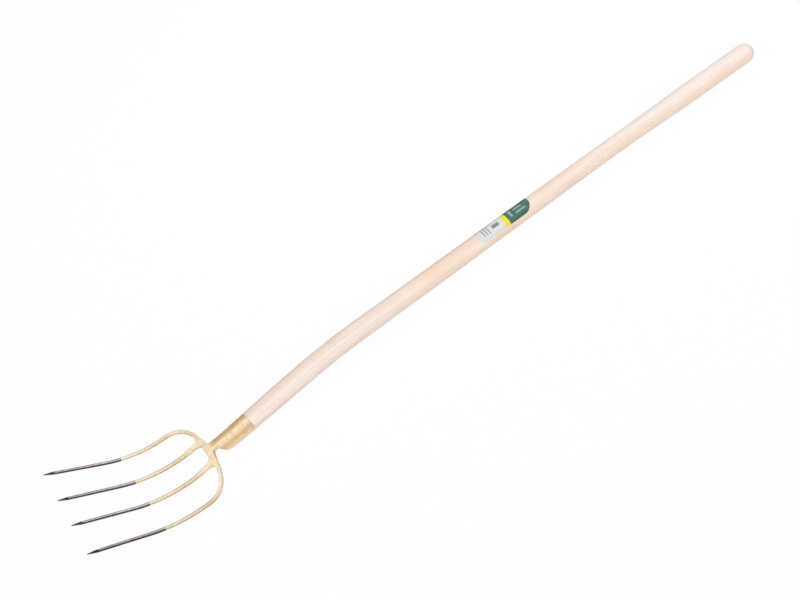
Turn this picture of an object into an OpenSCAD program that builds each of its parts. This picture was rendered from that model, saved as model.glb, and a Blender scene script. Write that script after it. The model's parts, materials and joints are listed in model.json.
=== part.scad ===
// Four tine manure fork with a bent wooden handle, lying face up.
// The head is drawn in its own frame: X runs along the socket towards the grip, Z points out of the
// hollow face of the tines, and the origin is the middle of the bow. lay() then puts the fork down.

/* [Handle] */
// Length of the handle along its centre line, tenon included
handle_len = 1345; // [1100:5:1600]
// Length of the tenon inside the socket
tenon_len = 57; // [40:1:60]
// Diameter at the bend
bend_dia = 40.6; // [39:0.1:48]
// Diameter at the waist
waist_dia = 36.4; // [30:0.1:41]
// Diameter of the grip end
grip_dia = 41; // [37:0.1:50]
// Straight stretch from the socket mouth to the bend
lower_len = 131; // [80:1:200]
// Length of the bend along the centre line
bend_len = 138; // [80:1:220]
// Angle of the bend
bend_angle = 6.75; // [3:0.05:12]
// Tapered stretch from the bend to the waist
taper_len = 600; // [450:1:700]
// Length of the waist
waist_len = 75; // [40:1:120]
// Slight second bend at the waist
sway_angle = 0.87; // [0.2:0.01:3]
// Stretch over which the waist swells to the grip
flare_len = 185; // [100:1:220]

/* [Socket] */
// Length of the rolled socket
socket_len = 82; // [75:0.5:110]
// Outer diameter at the front of the socket
socket_front_dia = 35; // [32:0.1:37]
// Outer diameter at the mouth, where the handle runs flush
socket_mouth_dia = 38; // [35:0.1:41]
// Thickness of the socket wall
socket_wall = 2.4; // [1.5:0.1:3]
// Width of the seam underneath
seam_w = 3; // [1:0.1:6]
// Slant of the front edge of the rolled flaps
front_slant = 34; // [20:1:38]
// How far the socket axis lies below the middle of the bow
socket_drop = 11.2; // [9:0.1:13]

/* [Bridge] */
// Length of the neck, from the middle of the bow to the socket
neck_len = 12; // [11:0.5:25]
// Width of the neck
neck_w = 23; // [18:0.5:29]
// Thickness of the neck
neck_t = 12; // [8:0.5:14]
// Width of the cross web in its middle
web_w = 14; // [11:0.5:18]
// Thickness of the cross web in its middle
web_t = 11; // [8:0.5:14]
// Half length of the cross web, where the bow arms are welded on
web_reach = 46; // [42:0.5:60]
// Length of the inner tine roots on the bridge
root_len = 30; // [24:0.5:50]

/* [Tines] */
// Length of a tine along its curve, from the middle of the bow to the tip
tine_len = 293; // [240:1:360]
// Dip of the head behind the curve
root_angle = -5.9; // [-10:0.1:0]
// Angle through which the tines curve up
curve_angle = 42.5; // [20:0.5:50]
// Length of the curve
curve_len = 177; // [140:1:220]
// Spacing of the outer tines where the bow ends
bow_w = 219; // [200:1:260]
// Spacing of the outer tips
tip_w = 245; // [220:1:290]
// Depth of the bow, from its middle to where the outer tines run straight
bow_depth = 57; // [40:1:80]
// Spacing of the inner tines at the bridge
inner_root_w = 64; // [58:0.5:72]
// Spacing of the inner tips
inner_tip_w = 77; // [60:0.5:90]
// Width of the bow arms
arm_w = 7.5; // [6:0.1:10]
// Thickness of the bow arms
arm_t = 6.5; // [5:0.1:9]
// Width of an inner tine at its root
root_w = 8.4; // [7:0.1:12]
// Thickness of an inner tine at its root
root_t = 6.8; // [5:0.1:10]
// Width of a tine where its point begins
slim_w = 5.6; // [4:0.1:8]
// Thickness of a tine where its point begins
slim_t = 4.9; // [4:0.1:7]
// Length of the drawn out point
point_len = 18; // [12:1:50]
// Width of the blunt tip
tip_size = 1.4; // [0.8:0.1:3]
// Length of a tine that is lacquered, from the middle of the bow
lacquer_len = 146; // [100:1:200]

/* [Screw and label] */
// Diameter of the screw shank
screw_dia = 4; // [3:0.1:5]
// Length of the screw under its head
screw_len = 25; // [18:1:30]
// Diameter of the screw head
screw_head_dia = 8; // [7:0.1:10]
// Height of the screw head
screw_head_h = 2.8; // [2:0.1:3.4]
// Distance of the screw from the socket mouth
screw_inset = 16; // [10:1:30]
// Distance of the label from the socket mouth
label_start = 567; // [400:1:650]
// Length of the label
label_len = 127; // [80:1:150]
// Width of the label round the handle
label_w = 46; // [30:1:60]
// Thickness of the label
label_t = 0.3; // [0.2:0.05:0.6]

/* [Hidden] */
$fn = 64;

right = 1;
left = -1;

// Play between the tenon, the screw and what holds them
fit_gap = 0.1;
// Glue layer under the label
glue_t = 0.2;
// How far a cut runs past the surface that it opens
overrun = 1;
// How much thinner a bend is than the stretches that it joins
hair = 0.05;
// Radius of the two corners at the lower end of the label
label_corner_r = 7;
// Width and depth of the slot in the screw head
slot_w = 1.2;
slot_d = 1.2;
// How far the tail of the neck runs on under the roof of the socket
tail_len = 22;
// Width of the tail where it ends inside the wall
tail_w = 10;
// Depths inside the wall between which the tail ends, as shares of the wall
tail_low_share = 0.75;
tail_high_share = 0.3;
// How far the neck stands proud of the roof of the socket
neck_rise = 0.6;
// Width of the neck where it grows out of the cross web
neck_root_w = 28;
// How far the neck starts inside the cross web
bite = 3;
// Place where an inner tine root starts inside the cross web
root_start = 1;
// Width and thickness of an inner tine root where it grows out of the cross web
stub_w = 25;
stub_t = 9.6;

// Exponent of the bow's outline, which is a rounded arch between an ellipse and a square
bow_exponent = 2.4;
// Rate at which the outer tines spread after the bow
spread_exponent = 1.5;
// Part of a tine's half width and half thickness that its bevelled edges take
bevel_share = 0.32;
// Part of the neck's half width and half thickness that its rounded edges take
neck_bevel_share = 0.45;

arm_steps = 14;
tine_steps = 12;
point_steps = 9;
web_steps = 12;
root_steps = 8;
neck_steps = 6;
flare_steps = 16;
ease_steps = 8;
dome_steps = 12;

mouth_x = neck_len + socket_len;
socket_front_r = socket_front_dia / 2;
socket_mouth_r = socket_mouth_dia / 2;
grip_r = grip_dia / 2;
neck_top = socket_front_r - socket_drop + neck_rise;
bend_r = bend_len / (bend_angle * PI / 180);
sway_r = waist_len / (sway_angle * PI / 180);
curve_r = curve_len / (curve_angle * PI / 180);
grip_len = handle_len - tenon_len - lower_len - bend_len - taper_len - waist_len - flare_len - grip_r;
label_on_taper = label_start - lower_len - bend_len;
label_turn = label_w / handle_taper_r(label_on_taper + label_len / 2) * 180 / PI;

// The sheet that the head lies in, unrolled: s is the distance from the bow, y the distance sideways

function sheet_angle(s) = root_angle + curve_angle * min(max(s, 0), curve_len) / curve_len;

function sheet_normal(s) = [sin(sheet_angle(s)), 0, cos(sheet_angle(s))];

function sheet_point(s, y) =
    let (a = sheet_angle(s))
    let (rest = s - min(max(s, 0), curve_len))
    [-curve_r * (sin(a) - sin(root_angle)) - rest * cos(a),
     y,
     curve_r * (cos(root_angle) - cos(a)) + rest * sin(a)];

// Unrolled centre lines, each a function from a number to [s, y]

function web_line(y) =
    [bow_depth * (1 - pow(1 - pow(abs(y) / (bow_w / 2), bow_exponent), 1 / bow_exponent)), y];

function arm_line(turn, side) =
    [bow_depth * (1 - pow(cos(turn), 2 / bow_exponent)),
     side * bow_w / 2 * pow(sin(turn), 2 / bow_exponent)];

function outer_line(s, side) =
    let (t = (s - bow_depth) / (tine_len - bow_depth))
    [s, side * (bow_w + (tip_w - bow_w) * pow(max(t, 0), spread_exponent)) / 2];

function inner_line(s, side) = [s, side * (inner_root_w + (inner_tip_w - inner_root_w) * s / tine_len) / 2];

// Widths and thicknesses along the tines

function mix(a, b, t) = a + (b - a) * t;

function ease(t) = (1 - cos(180 * t)) / 2;

slim_s = tine_len - point_len;

function tapered(start, start_s, slim, s) =
    s < slim_s ? mix(start, slim, (s - start_s) / (slim_s - start_s))
               : mix(slim, tip_size, (s - slim_s) / point_len);

function outer_size(s) = [tapered(arm_w, bow_depth, slim_w, s), tapered(arm_t, bow_depth, slim_t, s)];

function inner_size(s) = [tapered(root_w, root_len, slim_w, s), tapered(root_t, root_len, slim_t, s)];

// Rings and the solid that they span

function unit(v) = v / norm(v);

// A bevelled rectangle as eight corners, in shares of the half width and half thickness
function bevelled(share) =
    let (b = 1 - share)
    [[1, b], [b, 1], [-b, 1], [-1, b], [-1, -b], [-b, -1], [b, -1], [1, -b]];

// A ring square to the step from back to front, standing on the sheet at the place mid
function sheet_ring(back, mid, front, size) =
    let (tangent = unit(sheet_point(front[0], front[1]) - sheet_point(back[0], back[1])))
    let (normal = sheet_normal(mid[0]))
    let (across = unit(cross(normal, tangent)))
    let (centre = sheet_point(mid[0], mid[1]))
    [for (c = bevelled(bevel_share)) centre + across * c[0] * size[0] / 2 + normal * c[1] * size[1] / 2];

// Half of the step on which the direction of a centre line is measured, as a share of its run
probe_share = 0.0005;

function web_ring(y) =
    let (d = probe_share * web_reach)
    let (t = ease(abs(y) / web_reach))
    sheet_ring(web_line(y - d), web_line(y), web_line(y + d), [mix(web_w, arm_w, t), mix(web_t, arm_t, t)]);

function arm_ring(turn, side) =
    let (d = probe_share * 90)
    sheet_ring(arm_line(turn - d, side), arm_line(turn, side), arm_line(min(turn + d, 90), side),
               [arm_w, arm_t]);

function outer_ring(s, side) =
    let (d = probe_share * tine_len)
    sheet_ring(outer_line(s - d, side), outer_line(s, side), outer_line(s + d, side), outer_size(s));

function inner_ring(s, side) =
    let (d = probe_share * tine_len)
    sheet_ring(inner_line(s - d, side), inner_line(s, side), inner_line(s + d, side), inner_size(s));

// A root on the bridge, drawn in quickly from the web to the tine
function stub_ring(s, side) =
    let (d = probe_share * tine_len)
    let (t = pow((root_len - s) / (root_len - root_start), 2))
    sheet_ring(inner_line(s - d, side), inner_line(s, side), inner_line(s + d, side),
               [mix(root_w, stub_w, t), mix(root_t, stub_t, t)]);

// A ring across the neck at x, between the heights low and high
function neck_ring(x, w, low, high) =
    [for (c = bevelled(neck_bevel_share)) [x, c[0] * w / 2, (high + low) / 2 + c[1] * (high - low) / 2]];

module span(rings) {
    n = len(rings[0]);
    last = len(rings) - 1;
    sides = [for (i = [0 : last - 1], k = [0 : n - 1], half = [0, 1])
        let (a = i * n + k)
        let (b = i * n + (k + 1) % n)
        half == 0 ? [a, b + n, b] : [a, a + n, b + n]];
    caps = [for (k = [1 : n - 2], end = [0, 1])
        end == 0 ? [0, k, k + 1] : [last * n, last * n + k + 1, last * n + k]];
    polyhedron([for (r = rings, p = r) p], concat(sides, caps));
}

// The fork lies on the lower front edge of its socket and on the round grip end

slant_rise = tan(front_slant);
socket_growth = (socket_mouth_r - socket_front_r) / socket_len;
heel_x = neck_len + 2 * socket_front_r * slant_rise / (1 - slant_rise * socket_growth);
heel_z = -socket_drop - socket_r(heel_x);
upper_len = flare_len + grip_len;
grip_angle = bend_angle + sway_angle;
grip_x = mouth_x + lower_len + bend_r * sin(bend_angle) + taper_len * cos(bend_angle)
    + sway_r * (sin(grip_angle) - sin(bend_angle)) + upper_len * cos(grip_angle);
grip_z = -socket_drop - bend_r * (1 - cos(bend_angle)) - taper_len * sin(bend_angle)
    - sway_r * (cos(bend_angle) - cos(grip_angle)) - upper_len * sin(grip_angle);
heel_to_grip = norm([grip_x - heel_x, grip_z - heel_z]);
lie_angle = atan2(grip_z - heel_z, grip_x - heel_x) - asin(grip_r / heel_to_grip);
tip = sheet_point(tine_len, 0);
tip_corner = tip + sheet_normal(tine_len) * tip_size / 2;
lying_tip_x = tip[0] * cos(lie_angle) + tip_corner[2] * sin(lie_angle);
lying_grip_x = grip_x * cos(lie_angle) + grip_z * sin(lie_angle) + grip_r;
lying_heel_z = heel_z * cos(lie_angle) - heel_x * sin(lie_angle);

function socket_r(x) = socket_front_r + socket_growth * (x - neck_len);

module lay() {
    translate([-(lying_tip_x + lying_grip_x) / 2, 0, -lying_heel_z])
        rotate([0, lie_angle, 0])
            children();
}

// Handle

function handle_lower_r(x) = mix(socket_mouth_r, bend_dia / 2, sin(90 * x / lower_len));

function handle_taper_r(x) = mix(bend_dia, waist_dia, x / taper_len) / 2;

function handle_flare_r(x) = mix(waist_dia, grip_dia, ease(x / flare_len)) / 2;

module at_mouth() {
    translate([mouth_x, 0, -socket_drop])
        children();
}

// Goes on from the end of an arc that turns downwards
module past_arc(r, angle) {
    translate([0, 0, -r])
        rotate([0, angle, 0])
            translate([0, 0, r])
                children();
}

module past_bend() {
    at_mouth()
        translate([lower_len, 0, 0])
            past_arc(bend_r, bend_angle)
                children();
}

module past_waist() {
    past_bend()
        translate([taper_len, 0, 0])
            past_arc(sway_r, sway_angle)
                children();
}

// Turns a list of [x, radius] round the X axis
module turned(outline) {
    last = len(outline) - 1;
    rotate([0, 90, 0])
        rotate_extrude()
            polygon(concat([[0, outline[0][0]]],
                           [for (p = outline) [p[1], p[0]]],
                           [[0, outline[last][0]]]));
}

// A round bar along an arc that starts at the origin along X and turns downwards. It is a hair thinner
// than the stretches before and after it, and its ends run into them.
module arc_bar(r, angle, bar_r) {
    extra = asin(overrun / r);
    translate([0, 0, -r])
        rotate([-90, -90, 0])
            rotate([0, 0, -extra])
                rotate_extrude(angle = angle + 2 * extra)
                    translate([r, 0])
                        circle(r = bar_r - hair);
}

module screw_place() {
    translate([mouth_x - screw_inset, 0, -socket_drop])
        rotate([-90, 0, 0])
            children();
}

screw_seat = socket_r(mouth_x - screw_inset);

module screw_hole() {
    screw_place()
        translate([0, 0, screw_seat - screw_len - fit_gap])
            cylinder(r = screw_dia / 2 + fit_gap, h = screw_len + fit_gap + overrun);
}

module handle_blank() {
    tenon_play = socket_wall + fit_gap;
    at_mouth() {
        turned([[-tenon_len, socket_r(mouth_x - tenon_len) - tenon_play],
                [fit_gap, socket_mouth_r - tenon_play]]);
        turned([for (i = [0 : ease_steps])
            let (x = i == 0 ? fit_gap : lower_len * i / ease_steps)
            [x, handle_lower_r(x)]]);
        translate([lower_len, 0, 0])
            arc_bar(bend_r, bend_angle, bend_dia / 2);
    }
    past_bend() {
        turned([[0, bend_dia / 2], [taper_len, waist_dia / 2]]);
        translate([taper_len, 0, 0])
            arc_bar(sway_r, sway_angle, waist_dia / 2);
    }
    past_waist() {
        turned(concat([for (i = [0 : flare_steps])
                           let (x = flare_len * i / flare_steps)
                           [x, handle_flare_r(x)]],
                      [for (i = [0 : dome_steps])
                           let (a = 90 * i / dome_steps)
                           [upper_len + grip_r * sin(a), grip_r * cos(a)]]));
    }
}

module handle() {
    color("wheat")
        lay()
            difference() {
                handle_blank();
                screw_hole();
            }
}

// Socket

module socket_tube(inset, front, back) {
    translate([front, 0, -socket_drop])
        rotate([90, 0, 90])
            cylinder(r1 = socket_r(front) - inset, r2 = socket_r(back) - inset, h = back - front);
}

// Everything in front of the slanted edge of the flaps
module front_cut() {
    size = 2 * (socket_len + socket_mouth_dia);
    translate([neck_len, 0, socket_front_r - socket_drop])
        rotate([0, -front_slant, 0])
            translate([-size, -size / 2, -size])
                cube([size, size, size + overrun]);
}

module bored_tube() {
    difference() {
        socket_tube(0, neck_len - overrun, mouth_x);
        socket_tube(socket_wall, neck_len - 2 * overrun, mouth_x + overrun);
    }
}

module trimmed_tube() {
    difference() {
        bored_tube();
        front_cut();
    }
}

module seam_cut() {
    translate([0, -seam_w / 2, -socket_drop - socket_mouth_dia])
        cube([mouth_x + 2 * overrun, seam_w, socket_mouth_dia]);
}

// The neck's tail thins out into the roof of the socket and ends inside its wall
module neck_tail() {
    span([for (i = [0 : neck_steps])
        let (t = i / neck_steps)
        let (x = neck_len + tail_len * t)
        let (roof = socket_r(x) - socket_drop)
        neck_ring(x, mix(neck_w, tail_w, ease(t)),
                  mix(neck_top - neck_t, roof - tail_low_share * socket_wall, ease(t)),
                  roof + mix(neck_rise, -tail_high_share * socket_wall, t))]);
}

module socket() {
    color("goldenrod")
        lay()
            union() {
                difference() {
                    trimmed_tube();
                    seam_cut();
                    screw_hole();
                }
                neck_tail();
            }
}

// Bridge

module cross_web() {
    span([for (i = [-web_steps : web_steps]) web_ring(web_reach * i / web_steps)]);
}

module tine_root(side) {
    span([for (i = [0 : root_steps]) stub_ring(mix(root_start, root_len, i / root_steps), side)]);
}

module neck() {
    span([for (i = [0 : neck_steps])
        let (t = i / neck_steps)
        let (x = mix(-bite, neck_len, t))
        let (flare = pow(1 - t, 2))
        neck_ring(x, mix(neck_w, neck_root_w, flare),
                  mix(neck_top - neck_t, -web_t / 2, flare),
                  mix(neck_top, web_t / 2, flare))]);
}

module bridge() {
    color("goldenrod")
        lay()
            union() {
                cross_web();
                tine_root(right);
                tine_root(left);
                neck();
            }
}

// Tines

// Turn of the bow's outline at the end of the cross web
web_turn = asin(pow(web_reach / (bow_w / 2), bow_exponent / 2));

module outer_tine(side) {
    color("goldenrod")
        lay()
            span(concat(
                [for (i = [0 : arm_steps - 1]) arm_ring(mix(web_turn, 90, i / arm_steps), side)],
                [for (i = [0 : tine_steps]) outer_ring(mix(bow_depth, lacquer_len, i / tine_steps), side)]));
}

module inner_tine(side) {
    color("goldenrod")
        lay()
            span([for (i = [0 : tine_steps]) inner_ring(mix(root_len, lacquer_len, i / tine_steps), side)]);
}

// Places of the rings on a bare point: along the bar, then the drawn out end
point_places = concat([for (i = [0 : point_steps]) mix(lacquer_len, slim_s, i / point_steps)], [tine_len]);

module outer_point(side) {
    color("dimgray")
        lay()
            span([for (s = point_places) outer_ring(s, side)]);
}

module inner_point(side) {
    color("dimgray")
        lay()
            span([for (s = point_places) inner_ring(s, side)]);
}

// Screw and label

module socket_screw() {
    cap_r = (pow(screw_head_dia / 2, 2) + pow(screw_head_h, 2)) / (2 * screw_head_h);
    color("silver")
        lay()
            screw_place()
                translate([0, 0, screw_seat])
                    difference() {
                        union() {
                            translate([0, 0, -screw_len])
                                cylinder(r = screw_dia / 2, h = screw_len + slot_d);
                            intersection() {
                                translate([0, 0, screw_head_h - cap_r])
                                    sphere(r = cap_r);
                                cylinder(r = screw_head_dia, h = screw_head_h);
                            }
                        }
                        translate([-screw_head_dia, -slot_w / 2, screw_head_h - slot_d])
                            cube([2 * screw_head_dia, slot_w, slot_d + overrun]);
                    }
}

// Seen from above: two rounded corners at the lower end, a half round at the upper end
module label_outline(half_w) {
    difference() {
        translate([0, -half_w])
            square([label_len - half_w, 2 * half_w]);
        for (side = [left, right])
            translate([label_corner_r, side * (half_w - label_corner_r)])
                difference() {
                    translate([-label_corner_r - overrun, side == left ? -label_corner_r - overrun : 0])
                        square([label_corner_r + overrun, label_corner_r + overrun]);
                    circle(r = label_corner_r);
                }
    }
    translate([label_len - half_w, 0])
        circle(r = half_w);
}

module label() {
    from_r = handle_taper_r(label_on_taper) + glue_t;
    to_r = handle_taper_r(label_on_taper + label_len) + glue_t;
    color("seagreen")
        lay()
            past_bend()
                translate([label_on_taper, 0, 0])
                    intersection() {
                        rotate([0, 90, 0])
                            rotate([0, 0, 180 - label_turn / 2])
                                rotate_extrude(angle = label_turn)
                                    polygon([[from_r, 0], [from_r + label_t, 0],
                                             [to_r + label_t, label_len], [to_r, label_len]]);
                        linear_extrude(height = bend_dia)
                            label_outline(from_r * sin(label_turn / 2));
                    }
}

handle();
socket();
bridge();
outer_tine(right);  // outer_tine_right
inner_tine(right);  // inner_tine_right
inner_tine(left);  // inner_tine_left
outer_tine(left);  // outer_tine_left
outer_point(right);  // outer_point_right
inner_point(right);  // inner_point_right
inner_point(left);  // inner_point_left
outer_point(left);  // outer_point_left
socket_screw();
label();
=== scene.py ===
import json
import math

import bmesh
import bpy
import numpy as np
from mathutils import Matrix, Vector


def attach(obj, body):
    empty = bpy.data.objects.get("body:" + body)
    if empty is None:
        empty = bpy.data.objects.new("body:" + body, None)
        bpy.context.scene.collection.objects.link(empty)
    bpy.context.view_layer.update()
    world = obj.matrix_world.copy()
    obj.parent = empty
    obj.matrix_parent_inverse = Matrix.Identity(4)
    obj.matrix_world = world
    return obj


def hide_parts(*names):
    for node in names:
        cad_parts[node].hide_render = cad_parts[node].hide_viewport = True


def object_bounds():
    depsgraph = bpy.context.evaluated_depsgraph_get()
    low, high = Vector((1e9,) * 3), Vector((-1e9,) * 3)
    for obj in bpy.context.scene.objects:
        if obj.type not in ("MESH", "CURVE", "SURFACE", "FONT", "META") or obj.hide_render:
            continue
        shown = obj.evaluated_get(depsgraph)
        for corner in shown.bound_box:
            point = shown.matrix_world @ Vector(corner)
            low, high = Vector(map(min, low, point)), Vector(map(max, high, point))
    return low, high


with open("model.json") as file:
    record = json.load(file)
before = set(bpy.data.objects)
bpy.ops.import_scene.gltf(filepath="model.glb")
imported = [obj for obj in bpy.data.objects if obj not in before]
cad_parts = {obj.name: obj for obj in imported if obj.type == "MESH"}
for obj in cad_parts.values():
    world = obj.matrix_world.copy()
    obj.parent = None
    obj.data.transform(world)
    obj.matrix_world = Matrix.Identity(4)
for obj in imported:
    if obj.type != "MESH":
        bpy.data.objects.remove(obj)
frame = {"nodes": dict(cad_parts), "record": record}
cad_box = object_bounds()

# A four tine manure fork, lying face up. Sizes are in millimetres, in the frame of the head: X runs along
# the socket towards the grip, Z points out of the hollow face of the tines, and the origin is the middle
# of the bow. lay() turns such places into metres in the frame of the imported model.

MM = 0.001
FULL_TURN = 2 * math.pi
FULL_TURN_DEGREES = 360
BODY = "root"
RIGHT = 1
LEFT = -1
SIDE_NAMES = {RIGHT: "right", LEFT: "left"}

# Handle
TENON_LEN = 57
LOWER_LEN = 131
BEND_LEN = 138
TAPER_LEN = 600
WAIST_LEN = 75
FLARE_LEN = 185
GRIP_LEN = 138.5
BEND_R = 20.3
WAIST_R = 18.2
GRIP_R = 20.5
BEND_ANGLE = math.radians(6.75)
SWAY_ANGLE = math.radians(0.87)
TENON_CHAMFER = 3

# Slight waves that turning leaves in the handle
TURNING_DEPTH = 0.12
TURNING_WAVE = 47
TURNING_SWELL = 111
TURNING_PHASE = 1

# Socket
SOCKET_LEN = 82
SOCKET_FRONT_R = 17.5
SOCKET_MOUTH_R = 19
SOCKET_WALL = 2.4
SEAM_W = 3
FRONT_SLANT = math.radians(34)
SOCKET_DROP = 11.2
FIT_GAP = 0.1
FLAP_CURL = 1.6
FLAP_CURL_LEN = 9
ROLL_START = 0
ROLL_LEN = 22

# Bridge
NECK_LEN = 12
NECK_W = 23
NECK_T = 12
NECK_ROOT_W = 28
NECK_RISE = 0.6
NECK_START = -3
NECK_EDGE_SHARE = 0.85
TAIL_LEN = 22
TAIL_W = 10
WEB_W = 14
WEB_T = 11
WEB_REACH = 46
ROOT_START = 1
ROOT_LEN = 30
STUB_W = 15
STUB_T = 9.6
ROOT_BLEND = 13
ROOT_FLARE = 2
ROOT_SHIFT = 1.4
ROOT_END = 50
CORNER_BLEND = 6
CORNER_FILL = 8
CORNER_REACH = 58
CORNER_EXPONENT = 2.5
NECK_BLEND = 5
TAIL_BLEND = 3
RIM_BLEND = 1.1

# Tines
TINE_LEN = 293
ROOT_ANGLE = math.radians(-5.9)
CURVE_ANGLE = math.radians(42.5)
CURVE_LEN = 177
CURVE_R = CURVE_LEN / CURVE_ANGLE
BOW_W = 219
TIP_W = 245
BOW_DEPTH = 57
BOW_EXPONENT = 2.4
BOW_FIELD_END = 0.9
SPREAD_EXPONENT = 1.5
INNER_ROOT_W = 64
INNER_TIP_W = 77
ARM_W = 7.5
ARM_T = 6.5
ROOT_W = 8.4
ROOT_T = 6.8
SLIM_W = 5.6
SLIM_T = 4.9
POINT_LEN = 18
TIP_SIZE = 1.3
LACQUER_LEN = 146
EDGE_SHARE = 0.36
ROUND_SHARE = 0.7
ROUND_LEN = 45

# Label
LABEL_START = 567
LABEL_LEN = 127
LABEL_W = 46
LABEL_T = 0.5
LABEL_CORNER_R = 7

# Sums of the sizes above
MOUTH_X = NECK_LEN + SOCKET_LEN
SLIM_S = TINE_LEN - POINT_LEN
NECK_TOP = SOCKET_FRONT_R - SOCKET_DROP + NECK_RISE
GRIP_START = LOWER_LEN + BEND_LEN + TAPER_LEN + WAIST_LEN + FLARE_LEN
DOME_START = GRIP_START + GRIP_LEN

# Mesh steps
HANDLE_SIDES = 72
RING_STEP = 4
TINE_STEP = 2
CORNER_STEPS = 5
DOME_STEPS = 16
LABEL_STEPS = 96
LABEL_ROWS = 48
LABEL_MERGE = LABEL_T / 10
NET_STEP = 0.7
NET_PROBE_SHARE = 1 / 8
NET_ROUNDS = 2
NET_LEAST_SLOPE = 0.2
SHARP_ANGLE = math.radians(38)

# Print on the label: boxes are shares (start, end, low, high) along it from the pale end and across it
YELLOW_START = 0.465
GREEN_START = 0.545
PALE_INK = (0.66, 0.68, 0.66)
YELLOW_INK = (0.80, 0.68, 0.03)
GREEN_INK = [(0.3, (0.030, 0.118, 0.085)), (0.7, (0.042, 0.14, 0.105))]
GREY_INK = (0.22, 0.22, 0.22)
LIGHT_INK = (0.26, 0.38, 0.33)
PRINTED_BOXES = [
    (GREY_INK, [(0.08, 0.095, -0.62, 0.30), (0.13, 0.145, -0.62, 0.30), (0.18, 0.195, -0.62, 0.30)]),
    (GREY_INK, [(0.26, 0.39, -0.42, -0.06)]),
    (LIGHT_INK, [(0.61, 0.65, -0.50, 0.20)]),
    (LIGHT_INK, [(0.71, 0.90, -0.50, -0.34), (0.71, 0.86, -0.12, 0.04), (0.71, 0.80, 0.26, 0.42)]),
]

# Noises: the stretch of their places, then scale, detail and roughness
EVEN = (1, 1, 1)
FIBRE_NOISE = ((6, 420, 420), 1.0, 4.0, 0.6)
FIGURE_NOISE = ((2.2, 90, 60), 1.0, 2.0, 0.5)
BLUSH_NOISE = ((12, 70, 70), 1.0, 2.0, 0.5)
WASH_NOISE = (EVEN, 90, 3.0, 0.55)
FORGE_NOISE = (EVEN, 210, 3.0, 0.6)
SATIN_NOISE = (EVEN, 420, 3.0, 0.6)
OIL_NOISE = (EVEN, 120, 3.0, 0.6)
BRUSHED_NOISE = ((0.25, 1, 1), 700, 3.0, 0.6)
ZINC_NOISE = (EVEN, 900, 2.0, 0.5)
FILM_NOISE = (EVEN, 300, 2.0, 0.5)

# Painted light and shade on the bars: colours from the underside of a bar, over its painted shaded sides, to
# the painted highlight on its upper face
WHITE = (1.0, 1.0, 1.0)
LACQUERED_BAR_PAINTED_LIGHT = [(0.1, (0.86, 0.67, 0.43)), (0.45, (0.71, 0.50, 0.27)), (0.66, (0.61, 0.42, 0.21)),
                 (0.84, (0.90, 0.74, 0.50)), (0.95, (0.99, 0.86, 0.67))]
FORGED_BAR_PAINTED_LIGHT = [(0.1, (0.86, 0.67, 0.43)), (0.45, (0.86, 0.68, 0.45)), (0.66, (0.82, 0.63, 0.40)),
              (0.84, (0.90, 0.74, 0.50)), (0.95, (0.99, 0.86, 0.67))]
BARE_BAR_PAINTED_LIGHT = [(0.3, (0.080, 0.058, 0.060)), (0.70, (0.100, 0.075, 0.078)), (0.86, (0.62, 0.555, 0.555)),
            (0.95, (0.95, 0.87, 0.87))]

# Tints of the lacquer by distance from the bow's middle towards the right, and from the bow along a tine
LACQUER_ACROSS = [(-109.5, (0.93, 0.92, 0.90)), (-97, WHITE), (-84, (1.0, 1.05, 1.085)), (-50, WHITE),
                  (-31, WHITE), (-22, (0.91, 0.88, 0.83)), (-8, WHITE), (38, WHITE),
                  (66, (0.845, 0.77, 0.68)), (92, (0.93, 0.90, 0.87)), (109.5, (1.0, 1.06, 1.09))]
LACQUER_ALONG = [(4, (0.985, 0.945, 0.885)), (12, (0.98, 0.98, 0.97)), (28, (0.98, 0.99, 1.0)),
                 (50, (0.855, 0.805, 0.745)), (85, (0.95, 0.93, 0.90)), (105, (1.0, 1.03, 1.035)),
                 (140, (1.0, 1.13, 1.21))]

# And tints of the bare points, by the same places
STEEL_ACROSS = [(-105, (0.80, 0.77, 0.77)), (-60, WHITE)]
STEEL_ALONG = [(150, WHITE), (200, (0.95, 0.94, 0.94)), (245, (0.82, 0.80, 0.80)),
               (268, (0.80, 0.78, 0.78)), (282, WHITE)]

# Where the tints across the head start and end, in metres
ACROSS_TIPS = {"From Min": -TIP_W / 2 * MM, "From Max": TIP_W / 2 * MM}

# Lacquer: painted light and shade on the rolled sheet, as bands along it by degrees from its top towards its
# left side, and its wear
SHEET_PAINTED_LIGHT_BANDS = [(-45, (0.74, 0.54, 0.30)), (0, (0.63, 0.43, 0.22)), (26, (0.845, 0.68, 0.455)),
                   (70, (0.665, 0.47, 0.25)), (100, (0.88, 0.66, 0.42)), (180, (0.74, 0.54, 0.30))]
LACQUER_WASH = [(0.30, (0.86, 0.76, 0.62)), (0.52, WHITE)]
WASH_SHARE = 0.5
FORGE_MARKS = [(0.36, (0.74, 0.62, 0.47)), (0.50, WHITE)]
MARK_SHARE = {"To Min": 0.15, "To Max": 0.6}
LACQUER_ROUGHNESS = {"To Min": 0.34, "To Max": 0.54}
SHEET_METALLIC = {"To Min": 0.0, "To Max": 0.1}
BAR_METALLIC = {"To Min": 0.0, "To Max": 0.4}
LACQUER_BUMP = {"Strength": 0.3, "Distance": 0.001}

# Bare steel, zinc and the film of the label
OIL_WASH = [(0.3, (0.62, 0.60, 0.60)), (0.65, WHITE)]
OIL_SHARE = 0.8
STEEL_ROUGHNESS = {"To Min": 0.26, "To Max": 0.46}
STEEL_METALLIC = 0.8
STEEL_BUMP = {"Strength": 0.2, "Distance": 0.0006}
ZINC_TINTS = [(0.3, (0.50, 0.50, 0.53)), (0.7, (0.66, 0.66, 0.68))]
ZINC_ROUGHNESS = {"To Min": 0.25, "To Max": 0.4}
ZINC_METALLIC = 0.9
FILM_ROUGHNESS = {"To Min": 0.25, "To Max": 0.38}
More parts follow.
